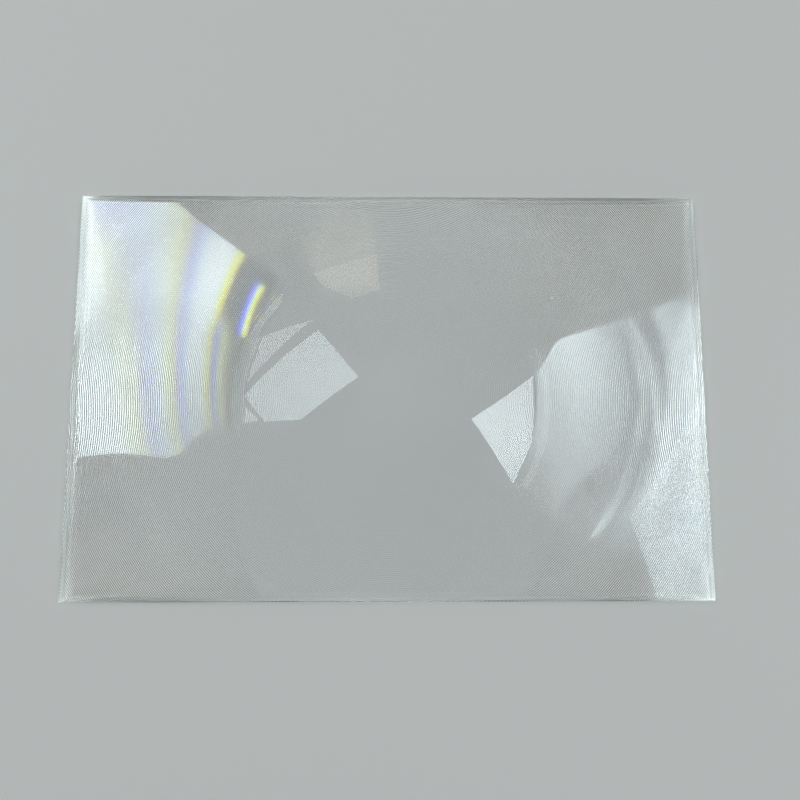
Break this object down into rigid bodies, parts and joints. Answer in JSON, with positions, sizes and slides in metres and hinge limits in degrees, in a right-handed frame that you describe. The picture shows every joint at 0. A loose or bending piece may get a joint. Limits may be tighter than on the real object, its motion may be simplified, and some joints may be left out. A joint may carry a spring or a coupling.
{
  "type": "fresnel lens",
  "caption": "Clear rectangular Fresnel lens: a thin acrylic plate with concentric sawtooth grooves on its upper face and a flat lower face.",
  "frame": {"origin": "centre of the flat lower face, on the optical axis", "axes": "+X along the plate's length, +Y across it, +Z along the optical axis, out of the grooved face"},
  "size_m": [0.105, 0.0676, 0.0009],
  "materials": {
    "clear_acrylic": "gloss"
  },
  "bodies": {
    "root": {"fresnel_lens": "clear_acrylic"}
  },
  "joints": []
}
